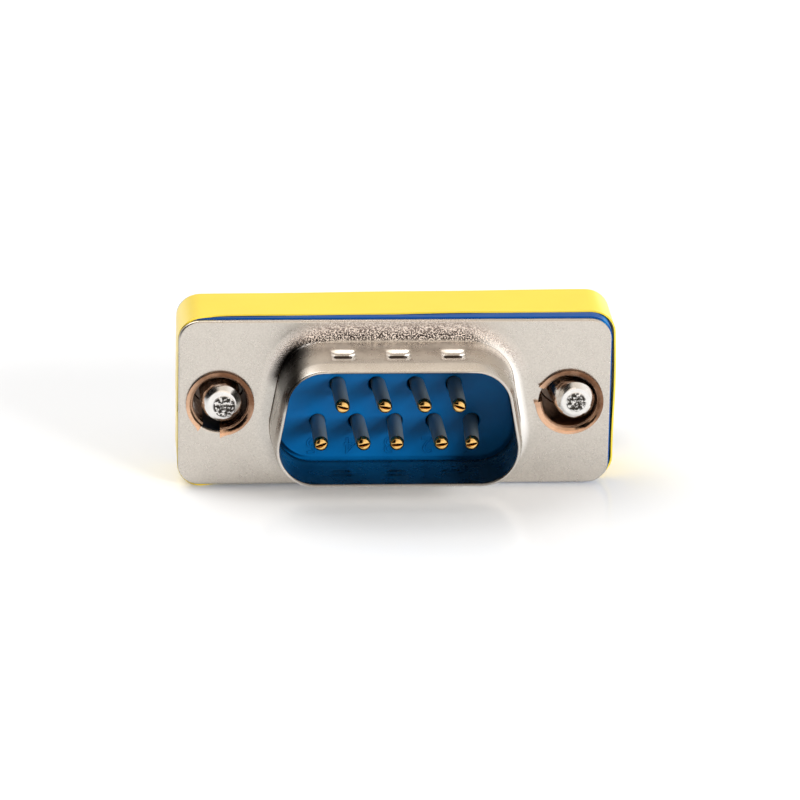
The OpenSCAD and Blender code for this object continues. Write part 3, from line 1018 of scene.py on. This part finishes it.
# %% Nickel sheet
def nickel_sheet(rooted=True):
    """Satin plate with a fine grain that the press has coarsened round the shroud's root, with painted
    light and shade on the shroud.
    """
    steel = Finish("nickel_sheet", Metallic=1.0)
    fine = steel.noise(9000, 3.0, 0.6)
    grain = steel.noise(10500, 2.0, 0.6)
    coarse = steel.noise(700, 4.0, 0.6)
    tone = (fine - 0.5) * 0.9 + (coarse - 0.5) * 0.4 + 0.5
    colour = steel.mix(tone.clamp(), (0.42, 0.39, 0.35), (0.72, 0.68, 0.625))
    relief = fine * 0.25 + coarse * 0.2
    rough = 0.2 + coarse * 0.16
    if rooted:
        away, x, up, out = root_distance(steel)
        # inside the D the shroud's inner walls turn darker: a painted shade in the recess
        outside = rising(away, -0.32 * MM, -0.22 * MM)
        colour = steel.mix(outside, (0.22, 0.21, 0.20), colour)
        near_flange = 1 - rising(out, 0.27 * MM, 0.42 * MM)
        near = (1 - rising(away, 1.1 * MM, 2.1 * MM)) * near_flange
        stretched = near * rising(up, 1.5 * MM, 4.0 * MM) * rising(away, 0.05 * MM, 0.35 * MM)
        colour = stretched_grain(steel, colour, grain, stretched, away)
        colour = root_marks(steel, colour, grain, near_flange, away, x, up, out)
        colour = dimple_paint(steel, colour, x, up, out)
        relief = relief * outside + grain * stretched * 3.0
        rough = rough - near * 0.08
    steel.feed(Base_Color=colour, Roughness=rough)
    steel.bump(relief, 0.00003, 0.4)
    return steel


dress(front_shell, nickel_sheet())
dress(rear_shell, nickel_sheet(False))


# %% [markdown]
# ## The blue plastic
#
# The insulators are moulded in one deep blue thermoplastic, half matt. A flat colour would look
# like paint, so a slow noise moves its tone and roughness a little. The rim that shows behind
# the flange and the bores round the screws lie in shade on the real piece, so both are darker.

# %% Blue moulded plastic
def blue_plastic():
    blue = Finish("blue_plastic", IOR=1.45, Specular_IOR_Level=0.2)
    cloud = blue.noise(500, 3.0, 0.6)
    colour = blue.mix(cloud, (0.0, 0.13, 0.40), (0.003, 0.17, 0.48))
    x, _, z = blue.axes()
    from_screw, height = x.abs() - SCREW_X, z - CENTRE_Z
    beyond = (x.abs() - BODY_W / 2).at_least(height.abs() - BODY_H / 2)
    rim = rising(beyond, -0.4 * MM, -0.2 * MM)
    colour = blue.mix(rim, colour, (0.0, 0.065, 0.27))
    bore = 1 - rising((from_screw * from_screw + height * height).power(0.5), 2.4 * MM, 2.5 * MM)
    colour = blue.mix(bore, colour, (0.0, 0.010, 0.028))
    blue.feed(Base_Color=colour, Roughness=(0.3 + cloud * 0.2))
    blue.bump(blue.noise(2500, 2.0), 0.00001, 0.4)
    return blue


blue = blue_plastic()
for obj in (frame["nodes"]["front_insulator"], frame["nodes"]["rear_insulator"], numbers):
    dress(obj, blue)


# %% [markdown]
# ## The label's film
#
# The label is glossy yellow film of almost one colour, and this one is left blank. A faint noise
# in its tone and a very low bump keep its long reflection from looking drawn with a ruler.

# %% Yellow label film
def yellow_film():
    film = Finish("yellow_film", Roughness=0.3, IOR=1.5)
    cloud = film.noise(300, 3.0, 0.6)
    colour = film.mix(cloud, (0.82, 0.60, 0.04), (0.88, 0.655, 0.05))
    film.feed(Base_Color=colour)
    film.bump(film.noise(400, 2.0), 0.00005, 0.4)
    return film


dress(label, yellow_film())


# %% [markdown]
# ## The eyelets' copper
#
# The bronze strip has a dark skin. Each eyelet gets painted light and shade across it, lighter at
# the lower left and darker at the upper right, and a noise breaks up the edge between them.

# %% Copper eyelets
LIT_SIDE_WIDTH = 4.4 * MM


def eyelet_copper():
    copper = Finish("eyelet_copper", Metallic=1.0)
    cloud = copper.noise(900, 4.0, 0.6)
    x, _, z = copper.axes()
    right = x + ((x < 0) - (x > 0)) * SCREW_X
    # painted light and shade: lighter towards the lower left of each eyelet, darker at the upper right
    lit_side = 0.5 - (right * 0.7 + (z - CENTRE_Z) * 0.7) * (1 / LIT_SIDE_WIDTH)
    tone = (lit_side + (cloud - 0.5) * 1.2).clamp()
    colour = copper.mix(tone, (0.16, 0.075, 0.04), (0.66, 0.42, 0.28))
    copper.feed(Base_Color=colour, Roughness=(0.08 + cloud * 0.15))
    copper.bump(copper.noise(1500, 3.0), 0.00005, 0.6)
    return copper


copper = eyelet_copper()
for eyelet in eyelets:
    dress(eyelet, copper)


# %% [markdown]
# ## The screws' nickel
#
# The screws are steel with a bright nickel plate. Their ends were cropped off roughly, so dark
# torn pits show on the end face. Every finished object sits at the origin, so one material can't
# tell the two screws apart. Each has its own copy, which is told where its end lies.

# %% Bright nickel screws
PIT_EDGE = 0.12 * MM


def screw_nickel(name, centre, pit_r):
    """Bright plate; the cropped end has dark pits within pit_r of a place on its face."""
    bright = Finish(name, Metallic=1.0)
    cloud = bright.noise(1500, 4.0, 0.6)
    torn = bright.noise(4200, 3.0, 0.6)
    x, y, z = bright.axes()
    dx, dz = x - centre[0], z - centre[1]
    inside = 1 - rising((dx * dx + dz * dz).power(0.5), pit_r - PIT_EDGE, pit_r)
    on_end = (y < FLANGE_Y - TIP_H + 0.03 * MM) * inside
    pits = ((torn - 0.41) * 10).clamp() * on_end
    colour = bright.mix(cloud, (0.62, 0.60, 0.58), (0.9, 0.89, 0.87))
    bright.feed(Base_Color=bright.mix(pits, colour, (0.05, 0.045, 0.04)),
        Roughness=(0.1 + cloud * 0.2 + pits * 0.3))
    bright.bump(cloud * 0.6 + torn * on_end * 3, 0.00004, 0.5)
    return bright


left_place = (-SCREW_X + 0.3 * MM, CENTRE_Z - 0.15 * MM)
right_place = (SCREW_X + 0.47 * MM, CENTRE_Z + 0.05 * MM)
dress(screws[0], screw_nickel("screw_nickel_left", left_place, 0.85 * MM))
dress(screws[1], screw_nickel("screw_nickel_right", right_place, 0.76 * MM))


# %% [markdown]
# ## The rings' spring steel
#
# The two retaining rings sit out of sight in their grooves, so one plain dark steel is enough.

# %% Dark spring steel
def ring_steel():
    return Finish("ring_steel", Metallic=1.0, Roughness=0.35, Base_Color=(0.2, 0.19, 0.18, 1))


dark = ring_steel()
for node in ("left_retaining_ring", "right_retaining_ring"):
    dress(frame["nodes"][node], dark)


# %% [markdown]
# ## The contacts' gold
#
# Gold is only flashed on where two contacts touch: on the nose of the pin and in the barrel. The
# pin between is a dull grey. A brown band where the gold begins is a painted dark reflection on
# the nose. One material that depends on the place along the contact makes both, so a contact
# stays one piece.

# %% Gold contacts
GOLD_START, GOLD_FULL = 4.05 * MM, 4.25 * MM
BRIGHT_START, BRIGHT_FULL = 4.2 * MM, 4.45 * MM


def contact_gold():
    """Gold flash on the tip and in the barrel, and a dull grey along the pin between."""
    gold = Finish("contact_gold")
    cloud = gold.noise(1200, 3.0, 0.6)
    flash = gold.mix(cloud, (0.72, 0.42, 0.12), (0.92, 0.62, 0.24))
    y = gold.axes()[1]
    above = FLANGE_Y - y
    plated = (rising(above, GOLD_START, GOLD_FULL) + (y > 0)).clamp()
    bright = (rising(above, BRIGHT_START, BRIGHT_FULL) + (y > 0)).clamp()
    # a brown band where the gold begins: a painted dark reflection
    flash = gold.mix(bright, (0.40, 0.17, 0.05), flash)
    colour = gold.mix(plated, (0.25, 0.285, 0.28), flash)
    gold.feed(Base_Color=colour, Roughness=(0.4 - plated * 0.26 + cloud * 0.04),
        Metallic=(0.6 + plated * 0.4))
    gold.bump(cloud, 0.00002, 0.3)
    return gold


gold = contact_gold()
for contact in contacts:
    dress(contact, gold)

# %% [markdown]
# ## The floor
#
# The adapter lies on a glossy white table, wide enough to have no edge in view. Its reflection
# shows in the steel, so it is a real plane and not a mere backdrop. A little light of its own,
# for the camera and for mirrors only, lets it read as white without lighting the pieces.

# %% Floor
select_none()
bpy.ops.mesh.primitive_plane_add(size=4, location=(0, 0, 0))
floor = bpy.context.object
floor.name = "floor"
TABLE_GLOW = 0.14


def white_table():
    """Glossy white, and a touch of its own light for the camera, so that it reads as white."""
    paper = Finish("floor_white", Roughness=0.16, IOR=1.4, Base_Color=(0.80, 0.80, 0.80, 1))
    rays = paper.tree.nodes.new("ShaderNodeLightPath")
    glow = paper.tree.nodes.new("ShaderNodeEmission")
    glow.inputs["Color"].default_value = (1, 1, 1, 1)
    both = paper.tree.nodes.new("ShaderNodeAddShader")
    pick_ray = paper.tree.nodes.new("ShaderNodeMixShader")
    glow.inputs["Strength"].default_value = TABLE_GLOW
    links = paper.tree.links
    out = paper.tree.nodes["Material Output"]
    links.new(paper.shader.outputs[0], both.inputs[0])
    links.new(glow.outputs[0], both.inputs[1])
    seen = Sock(paper, rays.outputs["Is Camera Ray"]) + Sock(paper, rays.outputs["Is Glossy Ray"])
    links.new(seen.clamp().socket, pick_ray.inputs[0])
    links.new(paper.shader.outputs[0], pick_ray.inputs[1])
    links.new(both.outputs[0], pick_ray.inputs[2])
    links.new(pick_ray.outputs[0], out.inputs["Surface"])
    return paper


dress(floor, white_table())

# %% [markdown]
# ## The light
#
# Polished metal shows what stands round it more than it shows its own colour. So the sky tells
# rays apart: the camera sees plain white, matt surfaces get a soft even light that is stronger
# from behind, and mirrors see a room, with a lit wall in front, a dark one on the left, and
# windows. Two large lamps add the shadows that a sky alone would not give. The one on the right
# is hidden from mirrors, so that it leaves no square of light on the steel.

# %% World and lamps
world = bpy.context.scene.world or bpy.data.worlds.new("studio")
bpy.context.scene.world = world
world.use_nodes = True


class Sky(Finish):
    """The world's nodes, made with the same methods as a material's."""

    def __init__(self, world):
        self.tree = world.node_tree


def studio_sky():
    """The room that mirrors see: warm walls that are brighter above than low down, a lit front
    that is brightest low down, a bright right side, a dark wall on the left, a pale window at
    the left behind, and a white horizon behind."""
    sky = Sky(world)
    rays = sky.tree.nodes.new("ShaderNodeLightPath")
    coords = sky.tree.nodes.new("ShaderNodeTexCoord")
    split = sky.tree.nodes.new("ShaderNodeSeparateXYZ")
    sky.tree.links.new(coords.outputs["Generated"], split.inputs[0])
    x, y, z = (Sock(sky, split.outputs[axis]) for axis in "XYZ")
    ahead = (-0.6 - y * 5).clamp()
    low = (1 - (z - 0.40) * 6).clamp()
    seen = sky.mix(low, (1.15, 1.02, 0.88), (0.40, 0.37, 0.34))
    front = sky.mix(low, (0.95, 0.85, 0.74), (1.4, 1.25, 1.1))
    seen = sky.mix(ahead, seen, front)
    seen = sky.mix(((x - 0.3) * 4).clamp(), seen, (1.2, 1.15, 1.1))
    rear = ((y - 0.4) * 5).clamp()
    seen = sky.mix(((-0.12 - x) * 5).clamp() * (1 - rear), seen, (0.004, 0.003, 0.003))
    window = rear * ((-0.3 - x) * 5).clamp() * ((z - 0.2) * 6).clamp()
    seen = sky.mix(window, seen, (1.3, 1.2, 1.05))
    horizon = ((y - 0.6) * 5).clamp() * (1 - (z - 0.1) * 8).clamp()
    seen = sky.mix(horizon, seen, (1.3, 1.3, 1.3))
    soft = sky.mix((y * 1.5 + 0.6).clamp(), (0.2, 0.2, 0.2), (0.95, 0.95, 0.95))
    kinds = ("Is Glossy Ray", "Is Camera Ray")
    glossy, camera_ray = (Sock(sky, rays.outputs[kind]) for kind in kinds)
    lit = sky.mix(camera_ray, sky.mix(glossy, soft, seen), (1.0, 1.0, 1.0))
    back = sky.tree.nodes["Background"]
    sky.tree.links.new(lit.socket, back.inputs["Color"])
    back.inputs["Strength"].default_value = 1.0


studio_sky()
bpy.context.scene.view_settings.view_transform = "Standard"


def area(name, place, size, power, target=(0, 0, 6.6 * MM)):
    light = bpy.data.lights.new(name, "AREA")
    light.energy, light.size = power, size
    lamp = bpy.data.objects.new(name, light)
    bpy.context.collection.objects.link(lamp)
    lamp.location = place
    lamp.rotation_euler = (Vector(target) - Vector(place)).to_track_quat("-Z", "Y").to_euler()
    return lamp


area("top_window", (-0.20, 0.14, 0.36), 0.35, 1.2)
right_window = area("right_window", (0.40, -0.36, 0.16), 0.28, 4.2)
right_window.visible_glossy = False

# %% [markdown]
# ## The camera
#
# It looks down at the pins from half a metre off, at some twenty degrees, and it is turned and
# rolled by a few degrees as a hand would hold it. Its three directions are worked out from yaw,
# tilt and roll, and it backs away from the middle of the front flange, so each value can be
# changed alone.

# %% Camera
yaw, tilt, roll = math.radians(3.77), math.radians(21.6), math.radians(-1.07)
distance, view_width = 482.5 * MM, 57.143 * MM
shift_right, shift_up = -0.361 * MM, -0.166 * MM
level = Vector((math.cos(yaw), -math.sin(yaw), 0))
ahead = Vector((math.sin(yaw), math.cos(yaw), 0))
look = math.cos(tilt) * ahead - Vector((0, 0, math.sin(tilt)))
upright = math.sin(tilt) * ahead + Vector((0, 0, math.cos(tilt)))
right = math.cos(roll) * level - math.sin(roll) * upright
up = math.sin(roll) * level + math.cos(roll) * upright
middle = Vector((0, FLANGE_Y, CENTRE_Z))
camera_data = bpy.data.cameras.new("camera")
camera = bpy.data.objects.new("camera", camera_data)
bpy.context.collection.objects.link(camera)
camera_data.sensor_width = 36
camera_data.lens = camera_data.sensor_width * distance / view_width
camera_data.clip_start, camera_data.clip_end = 0.01, 10
turn = Matrix((right, up, -look)).transposed()
place = middle - shift_right * right - shift_up * up - distance * look
camera.matrix_world = Matrix.Translation(place) @ turn.to_4x4()
bpy.context.scene.camera = camera
print("the camera stands at", [round(v / MM) for v in place], "in mm")

# %% [markdown]
# ## The last cell
#
# The last cell only loads the json module.

# %% The last line
import json
